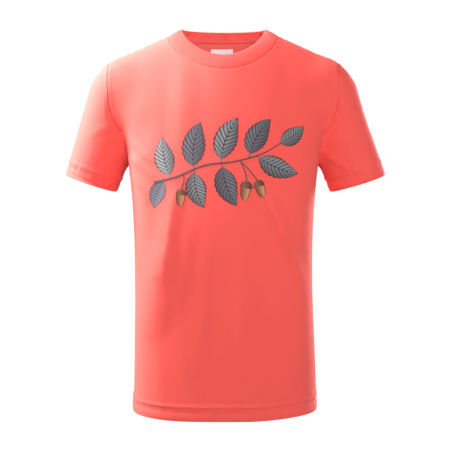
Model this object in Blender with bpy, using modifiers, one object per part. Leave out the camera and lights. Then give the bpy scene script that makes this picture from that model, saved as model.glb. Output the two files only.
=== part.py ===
"""A children's T-shirt in cotton jersey, filled out as it is worn.

Metres, +Z up. The front of the shirt faces -Y, and the wearer's left is +X. The origin is level with
the two high shoulder points, where the neck band meets the shoulder seams, and midway between them.

One smooth form, a torso joined to two upper arms, carries every panel. A panel is a grid stretched
between its four seams, each grid point is moved onto the form, and Solidify makes it cloth.
"""

import bpy
import numpy as np

# Thicknesses and clearances
CLOTH = 0.0015
BAND = 0.0022
TAPE = 0.0008
LABEL = 0.0006
SEAM_GAP = 0.0006
TAPE_CLEARANCE = 0.0004
LABEL_CLEARANCE = 0.0009
TAPE_TRIM = 0.25  # shares of a cell left free between a tape and the seams at its edge and ends
TAPE_END_TRIM = 0.25

# Body: the level of the hem, and the sections of the torso
HEM_Z = -0.5535
BODY_SECTIONS = (  # height, half width, depth of the front, depth of the back, power: 2 is an ellipse
    (-0.600, 0.1380, 0.105, 0.102, 2.9),
    (-0.5535, 0.1360, 0.104, 0.101, 3.0),
    (-0.460, 0.1330, 0.104, 0.099, 3.3),
    (-0.370, 0.1312, 0.104, 0.098, 3.3),
    (-0.280, 0.1330, 0.105, 0.100, 3.0),
    (-0.200, 0.1400, 0.104, 0.104, 2.7),
    (-0.120, 0.1540, 0.099, 0.104, 2.5),
    (-0.050, 0.1760, 0.093, 0.099, 2.4),
    (0.060, 0.2000, 0.090, 0.095, 2.4),
)

# Shoulders: a sloping ridge with a rounded roof that falls away to the front and the back
NECK_HALF_WIDTH = 0.083
SHOULDER_SLOPE = 0.50
RIDGE_ROUNDING = 0.050  # how gently the two slopes meet over the neck
ROOF_FRONT = (19.5, 2.0)  # fall in metres = first value times depth to the second
ROOF_BACK = (78.0, 3.0)
ROOF_TAPER = 30.0  # how much steeper the front's fall is away from the middle, for each square metre
ROOF_BLEND = 0.030

# Upper arm: a tapered oval tube with a rounded top
ARM_TOP = (0.1555, 0.013, -0.0900)
ARM_END = (0.1995, 0.010, -0.2190)
ARM_TOP_RADII = (0.0480, 0.047)  # across the arm seen from the front, and front to back
ARM_END_RADII = (0.0405, 0.048)
ARM_BLEND_HIGH = 0.024
ARM_BLEND_LOW = 0.010
BLEND_HIGH_Z = -0.080
BLEND_LOW_Z = -0.165

# Neck: where the band is sewn on, and its free edge
NECK_FRONT_DROP = 0.0535
DIP_POWER = 1.35  # 1 makes the dip an ellipse seen from the front, more makes it narrower
BAND_HALF_WIDTH = 0.0625
BAND_SIDE_Z = 0.0120
BAND_FRONT = (-0.052, -0.0315)  # y and z of the free edge at centre front
BAND_BACK = (0.048, 0.0130)

# Armhole, from the shoulder point to the underarm
ARMHOLE = (  # x, y at the front, y at the back, z
    (0.1700, 0.000, 0.000, -0.0390),
    (0.1710, -0.020, 0.038, -0.0520),
    (0.1695, -0.030, 0.055, -0.0800),
    (0.1640, -0.034, 0.060, -0.1080),
    (0.1545, -0.035, 0.057, -0.1340),
    (0.1465, -0.030, 0.048, -0.1560),
    (0.1420, -0.017, 0.028, -0.1760),
    (0.1405, 0.000, 0.000, -0.1880),
)

# Labels inside, blank: one below the neck tape, one in the wearer's left side seam
NECK_LABEL_WIDTH = 0.035
NECK_LABEL_LENGTH = 0.042
NECK_LABEL_TOP_Z = -0.0085
CARE_LABEL_WIDTH = 0.026
CARE_LABEL_LENGTH = 0.045
CARE_LABEL_TOP_Z = -0.430
LABEL_CELLS = 4

# Lines of a panel's grid close to its edges: the tapes end on the rows
TOP_ROWS = (0.005, 0.010)
EDGE_COLUMN = 0.006

# Cells along each seam
SIDE_CELLS = 13
ARMHOLE_CELLS = 11
SHOULDER_CELLS = 5
NECK_CELLS = 16
SLEEVE_ROWS = 8
SLEEVE_LAST_ROW = 0.95  # of the way to the armhole
BAND_ROWS = 3

# How curves and the form are worked out
LINE_SAMPLES = 400  # points along a curve before it is divided evenly
MOST_MOVE = 0.02  # metres a point may move at a time on its way to the form
LEAST_SLOPE = 0.05  # the smallest squared slope of the form that a move is divided by
CAST_REACH = 0.25
CAST_HALVINGS = 40
ARM_REACH = 1.3  # share of the arm's length over which it tapers
TINY = 1e-9

JERSEY = ("jersey", (1.0, 0.13, 0.10), 0.85)
RIB = ("rib", (0.98, 0.12, 0.09), 0.85)
TAPE_CLOTH = ("tape", (0.90, 0.11, 0.08), 0.85)
SATIN = ("label", (0.80, 0.80, 0.82), 0.55)


def smooth_table(at, table):
    """The columns after the first, read from a table on a smooth curve through its rows."""
    rows = np.asarray(table)
    slopes = np.gradient(rows[:, 1:], rows[:, 0], axis=0)
    i = np.clip(np.searchsorted(rows[:, 0], at) - 1, 0, len(rows) - 2)
    step = (rows[i + 1, 0] - rows[i, 0])[..., None]
    t = np.clip((at - rows[i, 0]) / step[..., 0], 0, 1)[..., None]
    start, rise = rows[i, 1:], rows[i + 1, 1:] - rows[i, 1:]
    leaving, arriving = slopes[i] * step - rise, slopes[i + 1] * step - rise
    return start + rise * t + t * (1 - t) * ((1 - t) * leaving - t * arriving)


def smooth_least(a, b, width):
    """The smaller of two distances, rounded where they are within a width of each other."""
    mix = np.clip(width - np.abs(a - b), 0, None) / width
    return np.minimum(a, b) - mix * mix * width / 4


def ridge_height(x):
    """The height of the shoulders' ridge: it falls away from the neck to both sides."""
    return SHOULDER_SLOPE * (np.hypot(NECK_HALF_WIDTH, RIDGE_ROUNDING) - np.hypot(x, RIDGE_ROUNDING))


def torso_distance(p):
    """Roughly how far points are outside the torso: an oval column under the shoulders' roof."""
    x, y, z = np.abs(p[..., 0]), p[..., 1], p[..., 2]
    half_width, front, back, power = np.moveaxis(smooth_table(z, BODY_SECTIONS), -1, 0)
    depth = np.abs(y) / np.where(y < 0, front, back)
    level = ((x / half_width) ** power + depth**power) ** (1 / power)
    reach = np.hypot(x, y) + TINY
    column = reach - reach / (level + TINY)

    factor = np.where(y < 0, ROOF_FRONT[0] * (1 + ROOF_TAPER * x * x), ROOF_BACK[0])
    power = np.where(y < 0, ROOF_FRONT[1], ROOF_BACK[1])
    fall = factor * np.abs(y) ** power
    steepness = factor * power * np.abs(y) ** (power - 1)
    roof = (z - ridge_height(x) + fall) / np.sqrt(1 + SHOULDER_SLOPE**2 + steepness**2)
    return -smooth_least(-column, -roof, ROOF_BLEND)


def arm_frame():
    """The arm's top, its direction down the sleeve, the direction across it, and its length."""
    top, end = np.array(ARM_TOP), np.array(ARM_END)
    length = np.linalg.norm(end - top)
    along = (end - top) / length
    return top, along, np.array((-along[2], 0.0, along[0])), length


def arm_distance(p):
    """Roughly how far points are outside the nearer upper arm."""
    top, along, across, length = arm_frame()
    q = np.stack((np.abs(p[..., 0]), p[..., 1], p[..., 2]), axis=-1) - top
    down = q @ along
    t = np.clip(down / length, 0, ARM_REACH)[..., None]
    radii = np.array(ARM_TOP_RADII) * (1 - t) + np.array(ARM_END_RADII) * t
    above = np.minimum(down, 0) / ARM_TOP_RADII[0]
    sideways, forward = (q @ across) / radii[..., 0], q[..., 1] / radii[..., 1]
    return (np.sqrt(sideways**2 + forward**2 + above**2) - 1) * radii[..., 0]


def form(p):
    """Roughly how far points are outside the form: torso and arms, blended softly over the shoulder."""
    t = np.clip((p[..., 2] - BLEND_LOW_Z) / (BLEND_HIGH_Z - BLEND_LOW_Z), 0, 1)
    blend = ARM_BLEND_LOW + (ARM_BLEND_HIGH - ARM_BLEND_LOW) * t * t * (3 - 2 * t)
    return smooth_least(torso_distance(p), arm_distance(p), blend)


def slope_of_form(p, reach=1e-4):
    steps = np.eye(3) * reach
    return np.stack([(form(p + s) - form(p - s)) / (2 * reach) for s in steps], axis=-1)


def outward(p):
    slope = slope_of_form(p)
    return slope / np.linalg.norm(slope, axis=-1, keepdims=True)


def settle(p, rounds=12):
    """Moves points onto the form, each along the form's slope there."""
    p = np.array(p, dtype=float)
    for _ in range(rounds):
        slope = slope_of_form(p)
        size = np.maximum((slope**2).sum(-1), LEAST_SLOPE)
        p -= (np.clip(form(p), -MOST_MOVE, MOST_MOVE) / size)[..., None] * slope
    return p


def resample(points, cells):
    """Points evenly spaced along a line."""
    return read_at(points, np.linspace(0, length_along(points)[-1], cells + 1))


def cast(points, direction):
    """Where straight lines from points inside the form leave it."""
    near, far = np.zeros(points.shape[:-1]), np.full(points.shape[:-1], CAST_REACH)
    for _ in range(CAST_HALVINGS):
        middle = (near + far) / 2
        inside = form(points + middle[..., None] * direction) < 0
        near, far = np.where(inside, middle, near), np.where(inside, far, middle)
    return points + near[..., None] * direction


def length_along(points):
    """How far along a line each of its points is."""
    return np.concatenate(([0], np.cumsum(np.linalg.norm(np.diff(points, axis=0), axis=1))))


def read_at(points, at):
    """The points at the given distances along a line."""
    points, run = np.asarray(points), length_along(points)
    return np.stack([np.interp(at, run, points[:, k]) for k in range(points.shape[1])], axis=-1)


def through(controls, cells):
    """Evenly spaced points on a smooth curve through a few points."""
    controls = np.asarray(controls)
    knots = np.arange(len(controls), dtype=float)
    dense = smooth_table(np.linspace(0, knots[-1], LINE_SAMPLES), np.column_stack((knots, controls)))
    return resample(dense, cells)


def mirrored(points):
    return points * np.array((-1, 1, 1))


def armhole(side):
    """The armhole seam of the wearer's left, from the underarm to the shoulder. side is -1 at the front."""
    controls = np.array(ARMHOLE)[::-1]
    line = settle(through(controls[:, (0, 1 if side < 0 else 2, 3)], LINE_SAMPLES))
    line[[0, -1], 1] = 0
    end = length_along(line)[-1]
    even = np.linspace(0, end - TOP_ROWS[-1], ARMHOLE_CELLS - len(TOP_ROWS) + 1)
    return read_at(line, np.concatenate((even, (end - TOP_ROWS[0], end))))


def side_seam():
    """The side seam of the wearer's left, from the hem up to the underarm."""
    underarm = armhole(-1)[0]
    z = np.linspace(HEM_Z, underarm[2], LINE_SAMPLES)
    line = np.column_stack((smooth_table(z, BODY_SECTIONS)[:, 0], 0 * z, z))
    line[-1] = underarm
    return resample(line, SIDE_CELLS)


def neck_seam(side):
    """Where the band is sewn on, from the wearer's right to the left, at the front or the back."""
    turn = np.linspace(0, np.pi, LINE_SAMPLES)
    x = -NECK_HALF_WIDTH * np.cos(turn)
    z = (-NECK_FRONT_DROP if side < 0 else 0.0) * np.sin(turn) ** DIP_POWER
    factor, power = ROOF_FRONT if side < 0 else ROOF_BACK
    factor = factor * (1 + ROOF_TAPER * x * x) if side < 0 else factor
    fall = np.maximum(ridge_height(x) - z, 0)
    line = np.column_stack((x, side * (fall / factor) ** (1 / power), z))
    return resample(line, NECK_CELLS)


def shoulder_seam():
    """The shoulder seam of the wearer's left, from the neck out to the armhole."""
    start, end = neck_seam(-1)[-1], armhole(-1)[-1]
    line = start + (end - start) * np.linspace(0, 1, LINE_SAMPLES)[:, None]
    line[1:-1] = settle(line[1:-1])
    line[:, 1] = 0
    end = length_along(line)[-1]
    return read_at(line, np.append(np.linspace(0, end - EDGE_COLUMN, SHOULDER_CELLS), end))


def hem_line(side, cells):
    """The body's hem, from the wearer's right to the left, at the front or the back."""
    half_width, front, back, power = smooth_table(np.array(HEM_Z), BODY_SECTIONS)
    turn = np.linspace(0, np.pi, LINE_SAMPLES)
    x = -half_width * np.sign(np.cos(turn)) * np.abs(np.cos(turn)) ** (2 / power)
    y = side * (front if side < 0 else back) * np.sin(turn) ** (2 / power)
    line = np.column_stack((x, y, np.full_like(x, HEM_Z)))
    end = length_along(line)[-1]
    even = np.linspace(EDGE_COLUMN, end - EDGE_COLUMN, cells - 1)
    return read_at(line, np.concatenate(([0], even, [end])))


def stretched(bottom, top, left, right):
    """A grid of points between four lines that meet at their ends: rows go up, columns go across."""
    u, v = [
        sum(length_along(line) / length_along(line)[-1] for line in pair) / 2
        for pair in ((bottom, top), (left, right))
    ]
    u, v = u[None, :, None], v[:, None, None]
    across = (1 - u) * left[:, None] + u * right[:, None]
    up = (1 - v) * bottom[None] + v * top[None]
    low_corners = (1 - u) * bottom[0] + u * bottom[-1]
    high_corners = (1 - u) * top[0] + u * top[-1]
    return across + up - (1 - v) * low_corners - v * high_corners


def evened(moves, pulls):
    """Each inner column of moves drawn to the mean of its neighbours, the nearer one counting for more."""
    before, after = pulls[:-1, None], pulls[1:, None]
    return (moves[:, :-2] * before + moves[:, 2:] * after) / (before + after)


def draped(grid, rounds=4, passes=40):
    """A grid moved onto the form while its edges stay. Evening out the moves keeps cells from folding."""
    columns = 1 / np.linalg.norm(np.diff(grid, axis=1), axis=-1).mean(0)
    rows = 1 / np.linalg.norm(np.diff(grid, axis=0), axis=-1).mean(1)
    moves = np.zeros_like(grid)
    for _ in range(rounds):
        moves[1:-1, 1:-1] = (settle(grid + moves) - grid)[1:-1, 1:-1]
        for _ in range(passes):
            across = evened(moves, columns)[1:-1]
            up = evened(moves.swapaxes(0, 1), rows).swapaxes(0, 1)[:, 1:-1]
            moves[1:-1, 1:-1] = (across + up) / 2
    moves[1:-1, 1:-1] = (settle(grid + moves) - grid)[1:-1, 1:-1]
    return grid + moves


def inset(points, depth):
    """Points moved straight inward from the form by a depth."""
    return points - outward(points) * depth


def pull_in(grid, edges, pull=SEAM_GAP / 2):
    """Draws the named edges of a grid back by half a seam gap, so that neighbours don't touch."""
    grid = grid.copy()
    turned = grid.swapaxes(0, 1)
    views = {"bottom": grid, "top": grid[::-1], "left": turned, "right": turned[::-1]}
    for edge in edges:
        rows = views[edge]
        step = rows[1] - rows[0]
        rows[0] += step / np.linalg.norm(step, axis=-1, keepdims=True) * pull
    return grid


def body_grid(side):
    """The front or the back panel, seen from outside with the wearer's right first."""
    top = np.vstack((mirrored(shoulder_seam())[::-1], neck_seam(side)[1:-1], shoulder_seam()))
    bottom = hem_line(side, len(top) - 1)
    right = np.vstack((side_seam(), armhole(side)[1:]))
    grid = draped(stretched(bottom, top, mirrored(right), right))
    return pull_in(grid, ("top", "left", "right"))


def sleeve_grid():
    """The wearer's left sleeve, from its hem up to the armhole, round from the underarm by the front."""
    top = np.vstack((armhole(-1), armhole(1)[-2:0:-1]))
    _, _, across, _ = arm_frame()
    turn = np.linspace(0, 2 * np.pi, len(top), endpoint=False)[:, None]
    forward = np.array((0, -ARM_END_RADII[1], 0))
    bottom = np.array(ARM_END) - across * ARM_END_RADII[0] * np.cos(turn) + forward * np.sin(turn)
    t = np.append(np.linspace(0, SLEEVE_LAST_ROW, SLEEVE_ROWS), 1)[:, None, None]
    grid = bottom[None] * (1 - t) + top[None] * t
    grid[1:-1] = settle(grid[1:-1])
    return pull_in(grid, ("top",))


def band_edge(y, z):
    """The band's free edge, from the wearer's right to the left, by its point at centre front or back."""
    turn = np.linspace(0, np.pi, LINE_SAMPLES)
    swing = BAND_SIDE_Z + (z - BAND_SIDE_Z) * np.sin(turn) ** DIP_POWER
    return resample(np.column_stack((-BAND_HALF_WIDTH * np.cos(turn), y * np.sin(turn), swing)), NECK_CELLS)


def band_grid():
    """The neck band, from its seam up to its free edge, a closed ring."""
    seam = np.vstack((neck_seam(-1), neck_seam(1)[-2:0:-1]))
    edge = np.vstack((band_edge(*BAND_FRONT), band_edge(*BAND_BACK)[-2:0:-1]))
    t = np.linspace(0, 1, BAND_ROWS + 1)[:, None, None]
    return pull_in(seam[None] * (1 - t) + edge[None] * t, ("bottom",), SEAM_GAP)


def shortened(grid, start=0.0, end=0.0):
    """A grid whose first and last columns are moved inward by a share of a cell."""
    grid = grid.copy()
    grid[:, 0] += (grid[:, 1] - grid[:, 0]) * start
    grid[:, -1] += (grid[:, -2] - grid[:, -1]) * end
    return grid


def neck_tape_grid():
    """The strip inside the back panel, just below the neck seam."""
    rows = body_grid(1)[-1 - len(TOP_ROWS) :, SHOULDER_CELLS : -SHOULDER_CELLS]
    rows[-1] += (rows[-2] - rows[-1]) * TAPE_TRIM
    return inset(shortened(rows, TAPE_END_TRIM, TAPE_END_TRIM), CLOTH + TAPE_CLEARANCE)[:, ::-1]


def shoulder_tape_grid():
    """The strip inside the wearer's left shoulder seam, from the front over to the back."""
    front, back = [body_grid(side)[-2, -1 - SHOULDER_CELLS :] for side in (-1, 1)]
    rows = np.stack((front, shoulder_seam(), back))
    return inset(shortened(rows, 2 * TAPE_END_TRIM, TAPE_END_TRIM), CLOTH + TAPE_CLEARANCE)


def neck_label_grid():
    """The label inside centre back, from its lower end up to the neck tape."""
    z = np.linspace(NECK_LABEL_TOP_Z - NECK_LABEL_LENGTH, NECK_LABEL_TOP_Z, LINE_SAMPLES)
    middle = cast(np.column_stack((0 * z, 0 * z, z)), (0, 1, 0))[::-1]
    z = read_at(middle, np.linspace(NECK_LABEL_LENGTH, 0, LABEL_CELLS + 1))[:, 2]
    x = np.linspace(NECK_LABEL_WIDTH / 2, -NECK_LABEL_WIDTH / 2, LABEL_CELLS + 1)
    x, z = np.meshgrid(x, z)
    return inset(cast(np.stack((x, 0 * x, z), axis=-1), (0, 1, 0)), CLOTH + LABEL_CLEARANCE)


def care_label_grid():
    """The label inside the front panel that hangs from the wearer's left side seam."""
    z = np.linspace(CARE_LABEL_TOP_Z - CARE_LABEL_LENGTH, CARE_LABEL_TOP_Z, LABEL_CELLS + 1)
    y = np.linspace(-SEAM_GAP - CARE_LABEL_WIDTH, -SEAM_GAP, LABEL_CELLS + 1)
    y, z = np.meshgrid(y, z)
    return inset(cast(np.stack((0 * y, y, z), axis=-1), (1, 0, 0)), CLOTH + LABEL_CLEARANCE)


def material(look):
    name, colour, roughness = look
    made = bpy.data.materials.get(name) or bpy.data.materials.new(name)
    made.use_nodes = True
    shader = made.node_tree.nodes["Principled BSDF"]
    shader.inputs["Base Color"].default_value = (*colour, 1)
    shader.inputs["Roughness"].default_value = roughness
    return made


def cloth(name, grid, thickness, look, closed=False):
    """A grid of points made into a solid sheet whose outer face is the grid. A closed grid is a tube."""
    rows, columns = grid.shape[:2]
    index = np.arange(rows * columns).reshape(rows, columns)
    if closed:
        index = np.column_stack((index, index[:, 0]))
    corners = index[:-1, :-1], index[:-1, 1:], index[1:, 1:], index[1:, :-1]
    cells = np.stack(corners, axis=-1).reshape(-1, 4).tolist()
    mesh = bpy.data.meshes.new(name)
    mesh.from_pydata(grid.reshape(-1, 3).tolist(), [], cells)
    mesh.shade_smooth()
    mesh.materials.append(material(look))
    made = bpy.data.objects.new(name, mesh)
    shirt_collection().objects.link(made)
    shell = made.modifiers.new("Thickness", "SOLIDIFY")
    shell.thickness = thickness
    shell.offset = -1
    return made


def shirt_collection():
    made = bpy.data.collections.get("childrens_t_shirt")
    if made is None:
        made = bpy.data.collections.new("childrens_t_shirt")
        bpy.context.scene.collection.children.link(made)
    return made


def clear_scene():
    for item in list(bpy.data.objects):
        bpy.data.objects.remove(item)


def main():
    clear_scene()
    cloth("front_panel", body_grid(-1), CLOTH, JERSEY)
    cloth("back_panel", body_grid(1)[:, ::-1], CLOTH, JERSEY)
    cloth("left_sleeve", sleeve_grid(), CLOTH, JERSEY, closed=True)
    cloth("right_sleeve", mirrored(sleeve_grid())[:, ::-1], CLOTH, JERSEY, closed=True)
    cloth("neck_band", band_grid(), BAND, RIB, closed=True)
    cloth("neck_tape", neck_tape_grid(), TAPE, TAPE_CLOTH)
    cloth("left_shoulder_tape", shoulder_tape_grid(), TAPE, TAPE_CLOTH)
    cloth("right_shoulder_tape", mirrored(shoulder_tape_grid())[:, ::-1], TAPE, TAPE_CLOTH)
    cloth("neck_label", neck_label_grid(), LABEL, SATIN)
    cloth("care_label", care_label_grid(), LABEL, SATIN)


if __name__ == "__main__":
    main()
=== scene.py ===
"""The looks of a children's T-shirt in coral cotton jersey, filled out as it is worn.

Metres, +Z up. The front of the shirt faces -Y, and the wearer's left is +X. The origin is level with
the two high shoulder points, and midway between them. The form, the seams and the sizes are those of
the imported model; here each panel gets its folds, turned-up hems, seam allowances, stitches and knit.
A side is -1 for the front and 1 for the back, or 1 for the wearer's left and -1 for the right.
"""

import bpy
import numpy as np
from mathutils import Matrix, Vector
from mathutils.bvhtree import BVHTree


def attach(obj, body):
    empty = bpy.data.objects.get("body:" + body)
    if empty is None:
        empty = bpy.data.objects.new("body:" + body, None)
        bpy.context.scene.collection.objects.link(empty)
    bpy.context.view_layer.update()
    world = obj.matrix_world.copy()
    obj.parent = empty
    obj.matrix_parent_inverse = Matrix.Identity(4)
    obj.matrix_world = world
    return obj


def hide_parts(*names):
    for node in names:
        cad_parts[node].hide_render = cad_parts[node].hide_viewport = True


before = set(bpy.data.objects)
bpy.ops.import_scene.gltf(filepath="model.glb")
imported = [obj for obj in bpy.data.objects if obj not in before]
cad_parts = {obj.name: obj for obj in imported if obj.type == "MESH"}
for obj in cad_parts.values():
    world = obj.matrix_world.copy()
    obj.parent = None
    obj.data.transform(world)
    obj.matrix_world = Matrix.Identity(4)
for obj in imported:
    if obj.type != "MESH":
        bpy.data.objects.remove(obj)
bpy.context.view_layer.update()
MM = 0.001
TINY = 1e-9

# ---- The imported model's form, its seams and its sizes

HEM_Z = -0.5535
BODY_SECTIONS = (  # height, half width, depth of the front, depth of the back, power: 2 is an ellipse
    (-0.600, 0.1380, 0.105, 0.102, 2.9),
    (-0.5535, 0.1360, 0.104, 0.101, 3.0),
    (-0.460, 0.1330, 0.104, 0.099, 3.3),
    (-0.370, 0.1312, 0.104, 0.098, 3.3),
    (-0.280, 0.1330, 0.105, 0.100, 3.0),
    (-0.200, 0.1400, 0.104, 0.104, 2.7),
    (-0.120, 0.1540, 0.099, 0.104, 2.5),
    (-0.050, 0.1760, 0.093, 0.099, 2.4),
    (0.060, 0.2000, 0.090, 0.095, 2.4),
)
NECK_HALF_WIDTH = 0.083
SHOULDER_SLOPE = 0.50
RIDGE_ROUNDING = 0.050
ROOF_FRONT = (19.5, 2.0)  # fall in metres = first value times depth to the second
ROOF_BACK = (78.0, 3.0)
ROOF_TAPER = 30.0  # how much steeper the front's fall is away from the middle, for each square metre
ROOF_BLEND = 0.030
ARM_TOP = (0.1555, 0.013, -0.0900)
ARM_END = (0.1995, 0.010, -0.2190)
ARM_TOP_RADII = (0.0480, 0.047)
ARM_END_RADII = (0.0405, 0.048)
ARM_BLEND_HIGH = 0.024
ARM_BLEND_LOW = 0.010
BLEND_HIGH_Z = -0.080
BLEND_LOW_Z = -0.165
NECK_FRONT_DROP = 0.0535
DIP_POWER = 1.35
BAND_HALF_WIDTH = 0.0625
BAND_SIDE_Z = 0.0120
BAND_FRONT = (-0.052, -0.0315)  # y and z of the band's edge in the middle
BAND_BACK = (0.048, 0.0130)
ARMHOLE = (  # x, y of the front half, y of the back half, z; the fourth and fifth run further out here
    (0.1700, 0.000, 0.000, -0.0390),
    (0.1710, -0.020, 0.038, -0.0520),
    (0.1695, -0.030, 0.055, -0.0800),
    (0.1680, -0.034, 0.060, -0.1080),
    (0.1575, -0.035, 0.057, -0.1340),
    (0.1465, -0.030, 0.048, -0.1560),
    (0.1420, -0.017, 0.028, -0.1760),
    (0.1405, 0.000, 0.000, -0.1880),
)
NECK_LABEL_WIDTH = 0.035
NECK_LABEL_LENGTH = 0.042
NECK_LABEL_TOP_Z = -0.0085
NECK_LABEL_SHIFT = -0.0026
CARE_LABEL_WIDTH = 0.026
CARE_LABEL_LENGTH = 0.045
CARE_LABEL_TOP_Z = -0.430
CARE_LABEL_Y = -0.0012

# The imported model's cells, in which places on the seams are counted
TOP_ROWS = (0.005, 0.010)
EDGE_COLUMN = 0.006
SIDE_CELLS = 13
ARMHOLE_CELLS = 11
SHOULDER_CELLS = 5
NECK_CELLS = 16
LAST_ROW = SIDE_CELLS + ARMHOLE_CELLS
LAST_COLUMN = 2 * SHOULDER_CELLS + NECK_CELLS
LINE_SAMPLES = 400
MOST_MOVE = 0.02
LEAST_SLOPE = 0.05
CAST_REACH = 0.25
CAST_HALVINGS = 40
ARM_REACH = 1.3

# The fine grids: runs of cells, each (start, end, how many)
BODY_ROWS = (
    (0, 0.08, 1), (0.08, 0.9, 16), (0.9, SIDE_CELLS, 100), (SIDE_CELLS, LAST_ROW - 2, 46),
    (LAST_ROW - 2, LAST_ROW - 1, 3), (LAST_ROW - 1, LAST_ROW - 0.35, 3), (LAST_ROW - 0.35, LAST_ROW, 1),
)
BODY_HALF_COLUMNS = (
    (0, 0.3, 1), (0.3, 1, 4), (1, SHOULDER_CELLS, 26), (SHOULDER_CELLS, LAST_COLUMN / 2, 42),
)
SLEEVE_HALF_COLUMNS = ((0, ARMHOLE_CELLS, 88),)
SLEEVE_ROWS = ((0, 0.018, 1), (0.018, 0.22, 14), (0.22, 0.90, 30), (0.90, 0.975, 6), (0.975, 1, 1))
BAND_ROWS = ((0, 0.08, 1), (0.08, 1, 8))
BAND_CELLS = 1150
UNDERARM_ROWS = 2.2  # how near the underarm the rows are relaxed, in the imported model's cells
EASE_AT = ((0.134, -0.146), (0.150, -0.088))  # x and z of the hollows that the chest spans
EASE_REACH = (0.016, 0.042)

# ---- Cloth

JERSEY_THICK = 0.0007
RIB_THICK = 0.0008
TAPE_THICK = 0.0005
LABEL_THICK = 0.00025
SHARP_ANGLE = 50
TURN = 0.00075  # radius of a folded edge
LABEL_TURN = 0.0006
TURN_STEPS = 5
HEM_WIDTH = 0.018
HEM_STITCHES = (0.0128, 0.0172)
ALLOWANCE = 0.006
BAND_FACING = 0.020  # how far the band is turned under
SEAM_BITE = 0.00025  # how far two sewn edges press into each other
HEM_BITE = 0.0004  # the same for the side seams in the hem
HEM_MARGIN = 0.004
SEAM_TOP_ROWS = 8  # rows below the shoulder where the side allowances end
VALLEY_LEVELS = (0.060, 0.085, 0.178, 0.196)  # below the origin, where the armhole has no turned edge
NECK_SHARE = 0.5  # the seams along the neck and shoulders are pressed flatter

# ---- Folds, in millimetres: height, width on the left and right going along it, crest, then points (x, z).
# A crest of 0 is rounded and 1 is sharp.

BODY_FOLDS = {
    -1: (
        (2.4, 30, 26, 0.3, (-58, -20), (-59, -80), (-60, -130), (-63, -190)),
        (1.0, 34, 34, 0.0, (58, -20), (59, -90), (61, -150), (64, -230)),
        (7.0, 17, 30, 0.6, (-67, -224), (-70, -252), (-76, -298), (-81, -330), (-86, -362)),
        (4.6, 26, 36, 0.1, (-78, -300), (-85, -345), (-93, -390), (-104, -445)),
        (2.4, 18, 26, 0.2, (-46, -262), (-55, -310), (-63, -357), (-74, -410)),
        (6.6, 17, 7, 0.5, (60, -228), (75, -266), (89.5, -305), (103, -345), (109, -370)),
        (2.4, 6, 6, 0.3, (-138, -150), (-126, -166), (-112, -180), (-96, -190)),
        (2.6, 5, 6, 0.3, (-139, -180), (-126, -188), (-112, -200), (-100, -214)),
        (2.4, 6, 7, 0.3, (-138, -204), (-127, -214), (-116, -230), (-108, -250)),
        (1.1, 7, 7, 0.2, (138, -152), (128, -166), (114, -178), (98, -186)),
        (0.9, 7, 7, 0.2, (139, -184), (126, -192), (114, -204), (104, -220)),
        (0.7, 16, 16, 0.0, (30, -300), (26, -350), (24, -410), (28, -480)),
        (0.6, 14, 18, 0.0, (-20, -280), (-26, -340), (-30, -400), (-34, -470)),
        (0.8, 14, 14, 0.0, (-92, -440), (-94, -480), (-92, -520), (-90, -545)),
        (0.8, 16, 14, 0.0, (84, -430), (88, -470), (88, -510), (86, -545)),
    ),
    1: (
        (5.0, 30, 24, 0.4, (-60, -160), (-70, -260), (-85, -350), (-100, -440)),
        (4.0, 22, 30, 0.4, (66, -180), (78, -270), (94, -350), (104, -430)),
        (1.2, 8, 8, 0.2, (-138, -160), (-124, -172), (-108, -182), (-90, -188)),
        (1.2, 8, 8, 0.2, (138, -158), (126, -172), (110, -184), (94, -192)),
        (1.0, 18, 18, 0.0, (-22, -240), (-20, -320), (-24, -400), (-30, -480)),
        (0.9, 18, 20, 0.0, (30, -260), (34, -340), (32, -410), (36, -500)),
    ),
}
SLEEVE_FOLDS = {  # seen from the front, as if each sleeve were the wearer's left one
    1: (
        (2.2, 8, 8, 0.3, (143, -172), (160, -184), (180, -196), (200, -206)),
        (1.4, 9, 9, 0.2, (147, -150), (162, -152), (180, -160), (198, -172)),
    ),
    -1: (
        (1.4, 8, 8, 0.3, (145, -170), (162, -184), (180, -200), (194, -212)),
        (0.7, 10, 10, 0.0, (152, -140), (166, -136), (184, -142), (202, -156)),
    ),
}
FOLD_SAMPLES = 48
FOLD_FADE = 0.012  # folds die out this near a seam, so that sewn edges stay together
FOLD_BACK_SHARE = 0.4  # how much of a sleeve's folds is left on its back
FOLD_BACK_Y = (0.03, -0.02)  # between which y they come to their full height
DIP = 0.0032  # how far the cloth sinks toward the lower armhole
DIP_LEVELS = (0.080, 0.112, 0.135, 0.168)  # below the origin
DIP_REACH = 0.040
SLEEVE_DIP_REACH = 0.025
FLARE = 0.0012  # how far the hem stands out at the wearer's right side seam
FLARE_REACH = 0.045
FLARE_RISE = (0, 0.007)  # above the hem's edge
FLARE_FALL = (0.0175, 0.0235)

# Ridges along a seam or a hem, in metres: height, distance from the edge, reach to each side
SEAM_SWELL = (0.00045, 0.0045, 0.0050)
SEAM_SINK = (0.00035, 0, 0.0028)
HEM_SWELL = (0.00045, 0.0065, 0.0075)
HEM_LIP = (0.00080, HEM_WIDTH + 0.0026, 0.0042)
STITCH_SINKS = [(0.00055, at, 0.0018) for at in HEM_STITCHES]
RIM = (0.0009, 0.0028, 0.0022)
RIM_LEVELS = (0.085, 0.105, 0.150, 0.178)  # below the origin
PUCKER = 0.00022
PUCKER_LENGTHS = (0.0170, 0.0104)
PUCKER_FADE = 0.010

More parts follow.
